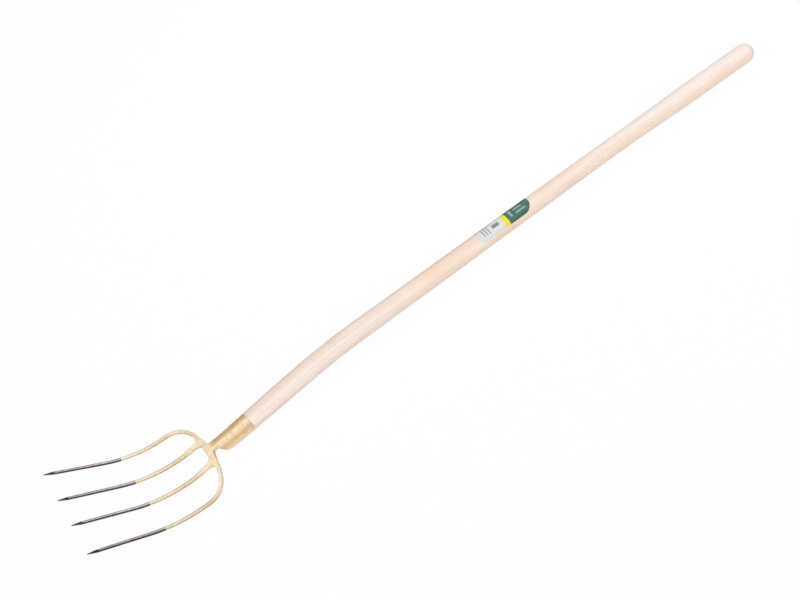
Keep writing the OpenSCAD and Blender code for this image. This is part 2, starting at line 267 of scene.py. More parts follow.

# The wood is rosy at the socket and warmer in the middle, and towards the grip its top is paler, which is
# painted light. The tints of the stick go by shares of its length, and the ranges of the painted top light
# are in metres.
WOOD_FIGURE = [(0.3, (0.83, 0.695, 0.59)), (0.7, (0.89, 0.775, 0.675))]
STICK_TINTS = [(0.26, (1.0, 1.005, 1.06)), (0.35, (0.99, 0.96, 0.935)), (0.58, (0.99, 0.97, 0.95)),
               (0.75, WHITE)]
BLUSH_TINTS = [(0.32, (0.97, 0.86, 0.76)), (0.5, (0.98, 0.94, 0.90)), (0.68, WHITE)]
BLUSH_SHARE = 0.5
STREAK_TINTS = [(0.32, (0.80, 0.74, 0.68)), (0.5, WHITE)]
STREAK_SHARE = 0.4
PAINTED_TOP_LIGHT_ALONG = {"From Min": 0.55, "From Max": 1.15}
PAINTED_TOP_LIGHT_UPWARD = {"From Min": 0.006, "From Max": 0.018}
PAINTED_TOP_LIGHT_STOPS = [(0.0, (0.85, 0.70, 0.585)), (1.0, (0.90, 0.825, 0.775))]
WOOD_ROUGHNESS = {"To Min": 0.64, "To Max": 0.50}
WOOD_SPECULAR = 0.3
WOOD_BUMP = {"Strength": 0.18, "Distance": 0.0004}

# Stage, in metres
CAMERA_PLACE = (-0.5514, -1.8000, 1.6869)
CAMERA_HEADING = math.radians(14.310)
CAMERA_TILT = math.radians(-41.526)
CAMERA_ROLL = math.radians(-27.066)
CAMERA_LENS = 57.59
MATRIX_SIZE = 4
FLOOR_SIZE = 60
FLOOR_GLOW = 0.93
FLOOR_GREY = 0.95
KEY_ENERGY = 1.34
KEY_ANGLE = math.radians(55)
KEY_HEIGHT = math.radians(51)
KEY_HEADING = math.radians(14)
KICKER_PLACE = (0.80, 0.95, 1.25)
KICKER_AIM = (0.65, 0, 0)
KICKER_SIZE = 0.8
KICKER_ENERGY = 4.5
SKY_HEIGHT = math.radians(70)
SKY_STOPS = [(0.25, (0.14, 0.14, 0.14)), (0.6, (0.42, 0.42, 0.42)), (0.9, WHITE)]


# Small sums

def mix(a, b, t):
    return a + (b - a) * t


def ease(t):
    return (1 - np.cos(math.pi * np.clip(t, 0, 1))) / 2


def step_over(value, width):
    """Nought to one, over a width that has zero in its middle."""
    return np.clip(value / width + 1 / 2, 0, 1)


def smooth_min(a, b, width):
    overlap = np.maximum(width - np.abs(a - b), 0) / width
    return np.minimum(a, b) - overlap * overlap * width / 4


def smooth_max(a, b, width):
    return -smooth_min(-a, -b, width)


def unit(v):
    return v / np.linalg.norm(v, axis=-1, keepdims=True)


def spaced(start, end, step):
    return np.linspace(start, end, max(2, int(round(abs(end - start) / step)) + 1))


def upright(angle):
    """Directions that lean from Z towards X by an angle."""
    return np.stack([np.sin(angle), 0 * angle, np.cos(angle)], axis=-1)


# The lying fork

def handle_angle(h):
    bend = np.clip((h - LOWER_LEN) / BEND_LEN, 0, 1)
    sway = np.clip((h - LOWER_LEN - BEND_LEN - TAPER_LEN) / WAIST_LEN, 0, 1)
    return BEND_ANGLE * bend + SWAY_ANGLE * sway


def handle_line(places):
    """Places on the centre line of the handle, at rising distances from the socket mouth."""
    steps = np.diff(places)
    middles = (places[:-1] + places[1:]) / 2
    angle = handle_angle(middles)
    x = np.concatenate([[0], np.cumsum(steps * np.cos(angle))])
    z = np.concatenate([[0], np.cumsum(-steps * np.sin(angle))])
    return np.stack([MOUTH_X + places[0] + x, 0 * x, z - SOCKET_DROP], axis=-1)


def lying_matrix():
    """The grip's axis in the record gives the turn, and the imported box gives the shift."""
    grip = next(m for m in frame["record"]["mounts"] if m["name"] == "grip_end")
    turn = math.atan2(-grip["axis"][2], grip["axis"][0]) - BEND_ANGLE - SWAY_ANGLE
    rotation = np.array([[math.cos(turn), 0, math.sin(turn)],
                         [0, 1, 0],
                         [-math.sin(turn), 0, math.cos(turn)]])
    dome_centre = rotation @ handle_line(np.linspace(0, DOME_START, int(DOME_START)))[-1]
    far_end = cad_box[1][0] / MM - GRIP_R
    floor_height = cad_box[0][2] / MM + GRIP_R
    shift = np.array([far_end - dome_centre[0], 0, floor_height - dome_centre[2]])
    return rotation, shift


LYING_ROTATION, LYING_SHIFT = lying_matrix()


def lay(points):
    return (np.asarray(points) @ LYING_ROTATION.T + LYING_SHIFT) * MM


# Meshes

def place_in_scene(name, data):
    item = bpy.data.objects.new(name, data)
    bpy.context.scene.collection.objects.link(item)
    return item


def add_object(name, node, mesh, look):
    mesh.set_sharp_from_angle(angle=SHARP_ANGLE)
    mesh.materials.append(look)
    piece = place_in_scene(name, mesh)
    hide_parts(node)
    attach(piece, BODY)


def new_mesh(name, vertices, faces):
    mesh = bpy.data.meshes.new(name)
    mesh.from_pydata(vertices.tolist(), [], faces)
    mesh.update()
    return mesh


def opened(mesh):
    work = bmesh.new()
    work.from_mesh(mesh)
    return work


def closed(work, mesh):
    work.to_mesh(mesh)
    work.free()


def smooth_outwards(work):
    """Turns all faces outwards and shades them smooth."""
    bmesh.ops.recalc_face_normals(work, faces=work.faces)
    for face in work.faces:
        face.smooth = True


def store_share(mesh, name, shares):
    layer = mesh.attributes.new(name, "FLOAT", "POINT")
    layer.data.foreach_set("value", shares.astype(np.float32).ravel())


def store_places(mesh, name, places):
    layer = mesh.attributes.new(name, "FLOAT_VECTOR", "POINT")
    layer.data.foreach_set("vector", places.astype(np.float32).ravel())


def ring_faces(count, sides):
    """Quads between rings of a closed tube, and its two end caps."""
    quads = []
    for i in range(count - 1):
        for k in range(sides):
            a = i * sides + k
            b = i * sides + (k + 1) % sides
            quads.append((a, b, b + sides, a + sides))
    start = tuple(reversed(range(sides)))
    end = tuple((count - 1) * sides + k for k in range(sides))
    return quads + [start, end]


def tube_mesh(name, rings):
    """A closed tube through rings of places in the head's frame."""
    count, sides, _ = rings.shape
    mesh = new_mesh(name, lay(rings.reshape(-1, 3)), ring_faces(count, sides))
    work = opened(mesh)
    smooth_outwards(work)
    closed(work, mesh)
    return mesh


def rounded_section():
    """A rectangle with round corners: for each corner its signs, and the turns round it."""
    corners = []
    for quarter, (across, up) in enumerate([(1, 1), (-1, 1), (-1, -1), (1, -1)]):
        for k in range(CORNER_STEPS + 1):
            turn = math.pi / 2 * (quarter + k / CORNER_STEPS)
            corners.append((across, up, math.cos(turn), math.sin(turn)))
    return np.array(corners)


SECTION = rounded_section()


def section_rings(places, across, normal, width, thickness, roundness):
    """Rings of rounded rectangles that stand at places, with sizes and a roundness for each place."""
    radius = roundness * np.minimum(width, thickness) / 2
    a = (width / 2 - radius)[:, None] * SECTION[:, 0] + radius[:, None] * SECTION[:, 2]
    n = (thickness / 2 - radius)[:, None] * SECTION[:, 1] + radius[:, None] * SECTION[:, 3]
    return places[:, None, :] + a[..., None] * across[:, None, :] + n[..., None] * normal[:, None, :]


def bar_mesh(name, places, rings):
    """A bar that knows how far each vertex looks up, how round it is there, and how far out that is."""
    mesh = tube_mesh(name, rings)
    drawn = step_over(places - SLIM_S, POINT_LEN / 2)[:, None]
    # up_share drives the painted light and shade of a bar: painted highlights on top, painted shade on the
    # sides; towards the tip it fades to a half.
    store_share(mesh, "up_share", mix((1 + SECTION[:, 3]) / 2, 1 / 2, drawn))
    store_share(mesh, "round_share", np.repeat(round_share(places), len(SECTION)))
    store_share(mesh, "tine_share", np.repeat(places / TINE_LEN, len(SECTION)))
    return mesh


# The sheet that the head lies in: s is the distance from the bow along the sheet, y the distance sideways

def sheet_angle(s):
    return ROOT_ANGLE + CURVE_ANGLE * np.clip(s, 0, CURVE_LEN) / CURVE_LEN


def sheet_normal(s):
    return upright(sheet_angle(s))


def sheet_point(s, y):
    angle = sheet_angle(s)
    rest = s - np.clip(s, 0, CURVE_LEN)
    x = -CURVE_R * (np.sin(angle) - math.sin(ROOT_ANGLE)) - rest * np.cos(angle)
    z = CURVE_R * (math.cos(ROOT_ANGLE) - np.cos(angle)) + rest * np.sin(angle)
    return np.stack([x, y + 0 * x, z], axis=-1)


def unrolled(points):
    """Distance from the bow and height over the sheet, for places near the bridge."""
    x, z = points[..., 0], points[..., 2]
    flat_s = -x * math.cos(ROOT_ANGLE) + z * math.sin(ROOT_ANGLE)
    flat_up = x * math.sin(ROOT_ANGLE) + z * math.cos(ROOT_ANGLE)
    from_axis_x = x - CURVE_R * math.sin(ROOT_ANGLE)
    from_axis_z = z - CURVE_R * math.cos(ROOT_ANGLE)
    curved_s = CURVE_R * (np.arctan2(-from_axis_x, -from_axis_z) - ROOT_ANGLE)
    curved_up = CURVE_R - np.hypot(from_axis_x, from_axis_z)
    return np.where(flat_s < 0, flat_s, curved_s), np.where(flat_s < 0, flat_up, curved_up)


# Centre lines and sizes of the bars

def bow_line(turn):
    """The bow from its middle to where the outer tine runs straight, as the turn goes to a right angle."""
    s = BOW_DEPTH * (1 - np.cos(turn) ** (2 / BOW_EXPONENT))
    return s, BOW_W / 2 * np.sin(turn) ** (2 / BOW_EXPONENT)


def web_end_turn():
    return math.asin((WEB_REACH / (BOW_W / 2)) ** (BOW_EXPONENT / 2))


def outer_spread(s):
    t = np.maximum((s - BOW_DEPTH) / (TINE_LEN - BOW_DEPTH), 0)
    return (BOW_W + (TIP_W - BOW_W) * t ** SPREAD_EXPONENT) / 2


def inner_spread(s):
    return (INNER_ROOT_W + (INNER_TIP_W - INNER_ROOT_W) * s / TINE_LEN) / 2


def root_share(s):
    """One at the roots of the inner tines, which are wider and off the middle, and nought further out."""
    return 1 - ease((s - ROOT_LEN) / (ROOT_END - ROOT_LEN))


def round_share(s):
    """The bars are flat where they leave the bridge, and round further out."""
    return ease((s - ROOT_LEN) / ROUND_LEN)


def tapered(start, start_s, slim, s):
    bar = mix(start, slim, np.clip((s - start_s) / (SLIM_S - start_s), 0, 1))
    return np.where(s < SLIM_S, bar, mix(slim, TIP_SIZE, (s - SLIM_S) / POINT_LEN))


def corner_fill(y):
    """How much wider the bow is on its inner side, in the corner next to an inner tine."""
    root = INNER_ROOT_W / 2
    t = np.clip((CORNER_REACH - np.abs(y)) / (CORNER_REACH - root), 0, 1)
    return np.where(np.abs(y) < root, 0, CORNER_FILL * t ** CORNER_EXPONENT)


def bar_rings(s, y, width, thickness, fill):
    places = sheet_point(s, y)
    normal = sheet_normal(s)
    tangent = unit(np.gradient(places, axis=0))
    across = unit(np.cross(normal, tangent))
    roundness = mix(EDGE_SHARE, ROUND_SHARE, round_share(s))
    middles = places + across * (np.sign(y) * fill / 2)[:, None]
    return section_rings(middles, across, normal, width + fill, thickness, roundness)


def outer_rings(s, y):
    width = tapered(ARM_W, BOW_DEPTH, SLIM_W, s)
    return bar_rings(s, y, width, tapered(ARM_T, BOW_DEPTH, SLIM_T, s), corner_fill(y))


def inner_rings(s, y):
    width = tapered(ROOT_W, ROOT_LEN, SLIM_W, s) + ROOT_FLARE * root_share(s)
    return bar_rings(s, y, width, tapered(ROOT_T, ROOT_LEN, SLIM_T, s), 0 * s)


def outer_tine_rings(side):
    turns = np.linspace(web_end_turn(), math.pi / 2, int(BOW_W / 2 / TINE_STEP))
    arm_s, arm_y = bow_line(turns)
    bar_s = spaced(BOW_DEPTH, LACQUER_LEN, TINE_STEP)[1:]
    s = np.concatenate([arm_s, bar_s])
    y = np.concatenate([arm_y, outer_spread(bar_s)])
    return s, outer_rings(s, side * y)


def inner_tine_rings(side):
    s = spaced(ROOT_LEN, LACQUER_LEN, TINE_STEP)
    return s, inner_rings(s, side * inner_spread(s) + ROOT_SHIFT * root_share(s))


def point_places():
    bar = spaced(LACQUER_LEN, SLIM_S, TINE_STEP)
    return np.concatenate([bar, spaced(SLIM_S, TINE_LEN, TINE_STEP)[1:]])


def outer_point_rings(side):
    s = point_places()
    return s, outer_rings(s, side * outer_spread(s))


def inner_point_rings(side):
    s = point_places()
    return s, inner_rings(s, side * inner_spread(s))


# Forged bridge and rolled socket, as one distance field that is cut where the neck meets the socket

def rounded_plate(plan, up, half_t, radius):
    """A plate with round edges, from the distance to its outline in its own sheet."""
    a = plan + radius
    b = np.abs(up) - half_t + radius
    outside = np.hypot(np.maximum(a, 0), np.maximum(b, 0))
    return outside + np.minimum(np.maximum(a, b), 0) - radius


def bow_across(s, y):
    """Distance from the bow's middle line, in the sheet, with a plus sign towards the tips."""
    out = np.minimum(np.abs(y) / (BOW_W / 2), BOW_FIELD_END)
    rest = 1 - out ** BOW_EXPONENT
    centre = BOW_DEPTH * (1 - rest ** (1 / BOW_EXPONENT))
    slope = BOW_DEPTH / (BOW_W / 2) * out ** (BOW_EXPONENT - 1) * rest ** (1 / BOW_EXPONENT - 1)
    return (s - centre) / np.hypot(1, slope)


def stub_plan(s, y):
    """Distance from the outlines of both inner tine roots, and half their thickness."""
    t = np.clip((ROOT_LEN - s) / (ROOT_LEN - ROOT_START), 0, 1) ** 2
    across = np.abs(np.abs(y - ROOT_SHIFT * root_share(s)) - inner_spread(s))
    half_w = (mix(ROOT_W, STUB_W, t) + ROOT_FLARE * root_share(s)) / 2
    plan = np.maximum(across - half_w, ROOT_START - s)
    return plan, mix(ROOT_T, STUB_T, t) / 2


def forged_field(s, y, up):
    """The bow's middle and the tine roots in one plate, with round corners between them."""
    t = ease(np.abs(y) / WEB_REACH)
    half_w = mix(WEB_W, ARM_W, t) / 2
    across = bow_across(s, y)
    web = np.abs(across) - half_w
    stub, stub_half_t = stub_plan(s, y)
    inner = np.clip(across / half_w, 0, 1)
    blend = np.where(np.abs(y) < INNER_ROOT_W / 2, ROOT_BLEND, CORNER_BLEND)
    filled = np.maximum(across - corner_fill(y), -across) - half_w
    plan = smooth_min(filled, stub, mix(FIT_GAP, blend, inner))
    web_share = step_over(stub - web, ROOT_BLEND / 2)
    half_t = mix(stub_half_t, mix(WEB_T, ARM_T, t) / 2, web_share)
    return rounded_plate(plan, up, half_t, EDGE_SHARE * half_t)


def socket_radius(x):
    return mix(SOCKET_FRONT_R, SOCKET_MOUTH_R, (x - NECK_LEN) / SOCKET_LEN)


def neck_field(x, y, z):
    """The neck, which flares into the web and runs out in a tail along the roof of the socket."""
    t = (x - NECK_START) / (NECK_LEN - NECK_START)
    flare = np.clip(1 - t, 0, 1) ** 2
    tail = np.clip((x - NECK_LEN) / TAIL_LEN, 0, 1)
    roof = socket_radius(np.maximum(x, NECK_LEN)) - SOCKET_DROP
    width = mix(mix(NECK_W, NECK_ROOT_W, flare), TAIL_W, ease(tail))
    low = mix(mix(NECK_TOP - NECK_T, -WEB_T / 2, flare), roof - SOCKET_WALL, ease(tail))
    high = mix(mix(roof + NECK_RISE, WEB_T / 2, flare), roof - SOCKET_WALL / 2, tail)
    half_t = (high - low) / 2
    plan = np.abs(y) - width / 2
    bar = rounded_plate(plan, z - (high + low) / 2, half_t, NECK_EDGE_SHARE * half_t)
    return np.maximum(bar, np.maximum(NECK_START - x, x - NECK_LEN - TAIL_LEN))


def socket_field(x, y, z):
    """The rolled tube, with a slanted front, a seam below and a curled front edge."""
    height = z + SOCKET_DROP
    past_front = x - NECK_LEN - (SOCKET_FRONT_R - height) * math.tan(FRONT_SLANT)
    curl = FLAP_CURL * np.clip(1 - past_front / FLAP_CURL_LEN, 0, 1) ** 2
    middle = socket_radius(x) - curl - SOCKET_WALL / 2
    shell = np.abs(np.hypot(y, height) - middle) - SOCKET_WALL / 2
    seam = np.where(height < 0, SEAM_W / 2 - np.abs(y), -SEAM_W)
    shell = smooth_max(shell, -past_front * math.cos(FRONT_SLANT), RIM_BLEND)
    shell = smooth_max(shell, seam, RIM_BLEND)
    return smooth_max(shell, x - MOUTH_X, RIM_BLEND)


def head_field(points):
    x, y, z = points[..., 0], points[..., 1], points[..., 2]
    s, up = unrolled(points)
    forged = smooth_min(forged_field(s, y, up), neck_field(x, y, z), NECK_BLEND)
    return smooth_min(forged, socket_field(x, y, z), TAIL_BLEND)


def field_slope(field, points, probe):
    slope = np.zeros_like(points)
    for axis in range(3):
        step = np.zeros(3)
        step[axis] = probe
        slope[:, axis] = (field(points + step) - field(points - step)) / (2 * probe)
    return slope


def edge_crossings(value, grid, axis, step):
    """Which grid edges along an axis cross the surface, where, and which of them leave the solid."""
    start = np.moveaxis(value, axis, 0)[:-1]
    end = np.moveaxis(value, axis, 0)[1:]
    crossed = (start < 0) != (end < 0)
    part = np.where(crossed, start / np.where(crossed, start - end, 1), 0)
    places = np.moveaxis(grid, axis, 0)[:-1].copy()
    places[..., axis] += part * step
    places *= crossed[..., None]
    return crossed, places, start < 0


def add_to_cells(total, count, crossed, places):
    """Adds each crossing to the four cells round its edge."""
    for u in (0, 1):
        for v in (0, 1):
            rows = slice(u, places.shape[1] - 1 + u)
            columns = slice(v, places.shape[2] - 1 + v)
            total += places[:, rows, columns]
            count += crossed[:, rows, columns]


def net_quads(number, axis, crossed, leaving):
    """The quads round the grid edges along one axis that cross the surface."""
    cell = np.moveaxis(number, axis, 0)
    inner = crossed[:, 1:-1, 1:-1]
    corners = [cell[:, :-1, :-1], cell[:, 1:, :-1], cell[:, 1:, 1:], cell[:, :-1, 1:]]
    quads = np.stack([c[inner] for c in corners], axis=-1)
    flip = leaving[:, 1:-1, 1:-1][inner] == (axis == 1)
    quads[flip] = quads[flip][:, ::-1]
    return quads


def settled(field, vertices, step):
    """Vertices moved along the slope of the field, onto the surface where it is zero."""
    for _ in range(NET_ROUNDS):
        slope = field_slope(field, vertices, step * NET_PROBE_SHARE)
        steepness = np.maximum((slope ** 2).sum(axis=1), NET_LEAST_SLOPE)
        vertices = vertices - slope * (field(vertices) / steepness)[:, None]
    return vertices


def surface_net(field, low, high, step):
    """Vertices and quads of the surface where the field is zero: one vertex in each cell that it crosses."""
    axes = [np.arange(a, b + step, step) for a, b in zip(low, high)]
    grid = np.stack(np.meshgrid(*axes, indexing="ij"), axis=-1)
    value = field(grid)
    cells = tuple(n - 1 for n in value.shape)
    total = np.zeros(cells + (3,))
    count = np.zeros(cells)
    crossings = []
    for axis in range(3):
        crossed, places, leaving = edge_crossings(value, grid, axis, step)
        add_to_cells(np.moveaxis(total, axis, 0), np.moveaxis(count, axis, 0), crossed, places)
        crossings.append((axis, crossed, leaving))
    used = count > 0
    number = np.full(cells, -1)
    number[used] = np.arange(used.sum())
    quads = [net_quads(number, *crossing) for crossing in crossings]
    vertices = total[used] / count[used][:, None]
    return settled(field, vertices, step), np.concatenate(quads)


def looking_up(points):
    slope = unit(field_slope(head_field, points, NET_STEP))
    return (1 + (slope * sheet_normal(unrolled(points)[0])).sum(axis=-1)) / 2


def store_head_shares(mesh, places):
    """How far each vertex looks up, how far out it lies, and how much and where it belongs to the roll."""
    x, y, z = places.T
    # up_share and turn_share drive the painted light and shade of the lacquer on the bridge and socket.
    store_share(mesh, "up_share", looking_up(places))
    store_share(mesh, "tine_share", np.maximum(unrolled(places)[0], 0) / TINE_LEN)
    store_share(mesh, "rolled_share", ease((x - ROLL_START) / ROLL_LEN))
    store_share(mesh, "turn_share", np.arctan2(-y, z + SOCKET_DROP) / FULL_TURN + 1 / 2)


def cut_mesh(name, vertices, quads, cuts):
    """A mesh in the head's frame, cut flat and closed at each (place, direction), then laid down."""
    mesh = new_mesh(name, vertices, quads.tolist())
    work = opened(mesh)
    for place, direction in cuts:
        everything = work.verts[:] + work.edges[:] + work.faces[:]
        bmesh.ops.bisect_plane(work, geom=everything, plane_co=place, plane_no=direction, clear_outer=True)
        rim = [e for e in work.edges if e.is_boundary]
        bmesh.ops.holes_fill(work, edges=rim)
    smooth_outwards(work)
    places = np.array([v.co for v in work.verts])
    for vertex, place in zip(work.verts, lay(places)):
        vertex.co = place
    closed(work, mesh)
    store_head_shares(mesh, places)
    return mesh


def bridge_mesh():
    reach = WEB_REACH + WEB_W / 2
    low = (-ROOT_LEN - WEB_W / 2, -reach, -WEB_T)
    high = (NECK_LEN + WEB_W / 2, reach, WEB_T)
    vertices, quads = surface_net(head_field, low, high, NET_STEP)
    cuts = [((NECK_LEN, 0, 0), (1, 0, 0))]
    for side in (RIGHT, LEFT):
        root = np.array([ROOT_LEN, ROOT_LEN + FIT_GAP])
        start, end = sheet_point(root, side * inner_spread(root))
        cuts.append((start, end - start))
        turn = web_end_turn()
        arm_s, arm_y = bow_line(np.array([turn, turn + math.radians(FIT_GAP)]))
        start, end = sheet_point(arm_s, side * arm_y)
        cuts.append((start, end - start))
    return cut_mesh("bridge", vertices, quads, cuts)


def socket_mesh():
    reach = SOCKET_MOUTH_R + SOCKET_WALL
    low = (NECK_LEN - SOCKET_WALL, -reach, -SOCKET_DROP - reach)
    high = (MOUTH_X + SOCKET_WALL, reach, reach - SOCKET_DROP)
    vertices, quads = surface_net(head_field, low, high, NET_STEP)
    return cut_mesh("socket", vertices, quads, [((NECK_LEN, 0, 0), (-1, 0, 0))])


# Handle

def handle_radius(h):
    lower = mix(SOCKET_MOUTH_R, BEND_R, np.sin(math.pi / 2 * np.clip(h / LOWER_LEN, 0, 1)))
    taper = mix(0, BEND_R - WAIST_R, np.clip((h - LOWER_LEN - BEND_LEN) / TAPER_LEN, 0, 1))
    flare = mix(0, GRIP_R - WAIST_R, ease((h - GRIP_START + FLARE_LEN) / FLARE_LEN))
    dome = np.clip((h - DOME_START) / GRIP_R, 0, 1)
    return (lower - taper + flare) * np.sqrt(1 - dome ** 2)


def tenon_radius(h):
    return socket_radius(MOUTH_X + h) - SOCKET_WALL - FIT_GAP


def turning_waves(h):
    waves = np.sin(h / TURNING_WAVE) * np.sin(h / TURNING_SWELL + TURNING_PHASE)
    return TURNING_DEPTH * waves * (h > LOWER_LEN) * (h < GRIP_START)


def handle_outline():
    """Distances from the socket mouth and radii, from the end of the tenon to the top of the dome."""
    start = -TENON_LEN
    chamfer = start + TENON_CHAMFER
    seat = spaced(chamfer, FIT_GAP, RING_STEP)[1:]
    bar = spaced(FIT_GAP, DOME_START, RING_STEP)
    turns = np.linspace(0, math.pi / 2, DOME_STEPS, endpoint=False)[1:]
    dome = DOME_START + GRIP_R * np.sin(turns)
    ends = [tenon_radius(start) - TENON_CHAMFER, tenon_radius(chamfer)]
    places = np.concatenate([[start, chamfer], seat, bar, dome])
    radii = np.concatenate([ends, tenon_radius(seat), handle_radius(bar), handle_radius(dome)])
    return places, radii


def handle_mesh():
    places, radii = handle_outline()
    centre = handle_line(places)
    up = upright(handle_angle(places))
    around = np.linspace(0, FULL_TURN, HANDLE_SIDES, endpoint=False)
    shape = (radii + turning_waves(places))[:, None]
    y = shape * np.sin(around)
    n = shape * np.cos(around)
    rings = centre[:, None, :] + n[..., None] * up[:, None, :]
    rings[..., 1] += y
    mesh = tube_mesh("handle", rings)
    straight = np.stack([places[:, None] + 0 * y, y, n], axis=-1)
    store_places(mesh, "grain_place", straight * MM)
    return mesh


# Label

def label_half_width(x, half_w):
    corner = np.clip(1 - x / LABEL_CORNER_R, 0, 1)
    end = np.clip((x - LABEL_LEN + half_w) / half_w, 0, 1)
    cut = LABEL_CORNER_R * (1 - np.sqrt(1 - corner ** 2))
    return (half_w - cut) * np.sqrt(1 - end ** 2)


def label_mesh():
    half_w = LABEL_W / 2
    x = LABEL_LEN * ease(np.linspace(0, 1, LABEL_STEPS))
    rows = np.sin(np.linspace(-math.pi / 2, math.pi / 2, LABEL_ROWS))
    arc = label_half_width(x, half_w)[:, None] * rows
    places = LABEL_START + x
    centre = handle_line(np.concatenate([spaced(0, LABEL_START, RING_STEP)[:-1], places]))[-len(x):]
    up = upright(handle_angle(places))
    radius = handle_radius(places)[:, None]
    turn = arc / radius
    layers = []
    for lift in (LABEL_T, 0):
        layer = centre[:, None, :] + ((radius + lift) * np.cos(turn))[..., None] * up[:, None, :]
        layer[..., 1] += (radius + lift) * np.sin(turn)
        layers.append(layer)
    return sheet_mesh("label", layers, x / LABEL_LEN, arc / half_w)


def sheet_faces(count, rows):
    """Faces of a thin sheet: its upper layer, its lower layer, and the rim between them."""
    size = count * rows
    faces = []
    for i in range(count - 1):
        for k in range(rows - 1):
            a = i * rows + k
            faces.append((a, a + 1, a + rows + 1, a + rows))
            faces.append((a + size, a + size + rows, a + size + rows + 1, a + size + 1))
    rim = [i * rows for i in range(count)]
    rim += [(count - 1) * rows + k for k in range(1, rows)]
    rim += [i * rows + rows - 1 for i in range(count - 2, -1, -1)]
    rim += list(range(rows - 2, 0, -1))
    for a, b in zip(rim, rim[1:] + rim[:1]):
        faces.append((a, b, b + size, a + size))
    return faces


def sheet_mesh(name, layers, along, sideways):
    """A thin sheet with an upper and a lower layer, and its places along and across as a map."""
    vertices = np.concatenate([layer.reshape(-1, 3) for layer in layers])
    mesh = new_mesh(name, lay(vertices), sheet_faces(*sideways.shape))
    place = np.stack([along[:, None] + 0 * sideways, sideways, 0 * sideways], axis=-1)
    store_places(mesh, "label_place", np.concatenate([place, place]))
    work = opened(mesh)
    bmesh.ops.remove_doubles(work, verts=work.verts, dist=LABEL_MERGE * MM)
    smooth_outwards(work)
    closed(work, mesh)
    return mesh


# Nodes of materials

def fill_sockets(tree, sockets, values):
    for key, value in values.items():
        if isinstance(value, bpy.types.NodeSocket):
            tree.links.new(value, sockets[key])
        else:
            sockets[key].default_value = value


def add_node(tree, kind, settings=None, inputs=None):
    node = tree.nodes.new(kind)
    for key, value in (settings or {}).items():
        setattr(node, key, value)
    fill_sockets(tree, node.inputs, inputs or {})
    return node


def new_material(name):
    material = bpy.data.materials.new(name)
    material.use_nodes = True
    tree = material.node_tree
    return material, tree, tree.nodes["Principled BSDF"]


def object_places(tree):
    return add_node(tree, "ShaderNodeTexCoord").outputs["Object"]


def stored(tree, name, output="Fac"):
    """A value or a place that a mesh keeps for each vertex."""
    return add_node(tree, "ShaderNodeAttribute", {"attribute_name": name}).outputs[output]


def separated(tree, places):
    return add_node(tree, "ShaderNodeSeparateXYZ", inputs={"Vector": places}).outputs


def noise(tree, places, settings):
    stretch, scale, detail, roughness = settings
    mapping = add_node(tree, "ShaderNodeMapping", inputs={"Vector": places, "Scale": stretch})
    inputs = {"Vector": mapping.outputs["Vector"], "Scale": scale, "Detail": detail, "Roughness": roughness}
    return add_node(tree, "ShaderNodeTexNoise", inputs=inputs).outputs["Fac"]


def opaque(colour):
    return (*colour, 1)


def ramp(tree, value, stops):
    """A colour ramp through (place, colour) stops."""
    node = add_node(tree, "ShaderNodeValToRGB", inputs={"Fac": value})
    elements = node.color_ramp.elements
    for element, (place, colour) in zip(elements, (stops[0], stops[-1])):
        element.position = place
        element.color = opaque(colour)
    for place, colour in stops[1:-1]:
        elements.new(place).color = opaque(colour)
    return node.outputs["Color"]


def mix_colour(tree, factor, a, b, blend="MIX"):
    """A mix of two colours, each of them a socket or plain numbers."""
    node = add_node(tree, "ShaderNodeMix", {"data_type": "RGBA", "blend_type": blend})
    colours = [c if isinstance(c, bpy.types.NodeSocket) else opaque(c) for c in (a, b)]
    sockets = {s.name: s for s in node.inputs if s.enabled}
    fill_sockets(tree, sockets, {"Factor": factor, "A": colours[0], "B": colours[1]})
    return next(s for s in node.outputs if s.enabled)


def tinted(tree, colour, place, tints, factor=1.0):
    return mix_colour(tree, factor, colour, ramp(tree, place, tints), "MULTIPLY")


def math_node(tree, operation, *values):
    node = add_node(tree, "ShaderNodeMath", {"operation": operation}, dict(enumerate(values)))
    return node.outputs["Value"]


def map_range(tree, value, limits):
    return add_node(tree, "ShaderNodeMapRange", inputs={"Value": value, **limits}).outputs["Result"]


def bump(tree, height, settings):
    return add_node(tree, "ShaderNodeBump", inputs={"Height": height, **settings}).outputs["Normal"]


# Materials

def wood_material():
    material, tree, shader = new_material("pale_ash")
    place = stored(tree, "grain_place", "Vector")
    fibre = noise(tree, place, FIBRE_NOISE)
    parts = separated(tree, place)
    figure = ramp(tree, noise(tree, place, FIGURE_NOISE), WOOD_FIGURE)
    # Painted light: towards the grip the top of the stick is paler
    pale = ramp(tree, map_range(tree, parts["Z"], PAINTED_TOP_LIGHT_UPWARD), PAINTED_TOP_LIGHT_STOPS)
    wood = mix_colour(tree, map_range(tree, parts["X"], PAINTED_TOP_LIGHT_ALONG), figure, pale)
    wood = tinted(tree, wood, math_node(tree, "DIVIDE", parts["X"], DOME_START * MM), STICK_TINTS)
    wood = tinted(tree, wood, noise(tree, place, BLUSH_NOISE), BLUSH_TINTS, BLUSH_SHARE)
    wood = tinted(tree, wood, fibre, STREAK_TINTS, STREAK_SHARE)
    fill_sockets(tree, shader.inputs, {
        "Base Color": wood,
        "Roughness": map_range(tree, fibre, WOOD_ROUGHNESS),
        "Normal": bump(tree, fibre, WOOD_BUMP),
        "Specular IOR Level": WOOD_SPECULAR,
    })
    return material


def uneven(tree, colour, across_tints, along_tints):
    """Tints a colour by its place across the head, and by its place along a tine."""
    across = map_range(tree, separated(tree, object_places(tree))["Y"], ACROSS_TIPS)
    colour = tinted(tree, colour, across, [(y / TIP_W + 1 / 2, tint) for y, tint in across_tints])
    along = [(s / TINE_LEN, tint) for s, tint in along_tints]
    return tinted(tree, colour, stored(tree, "tine_share"), along)


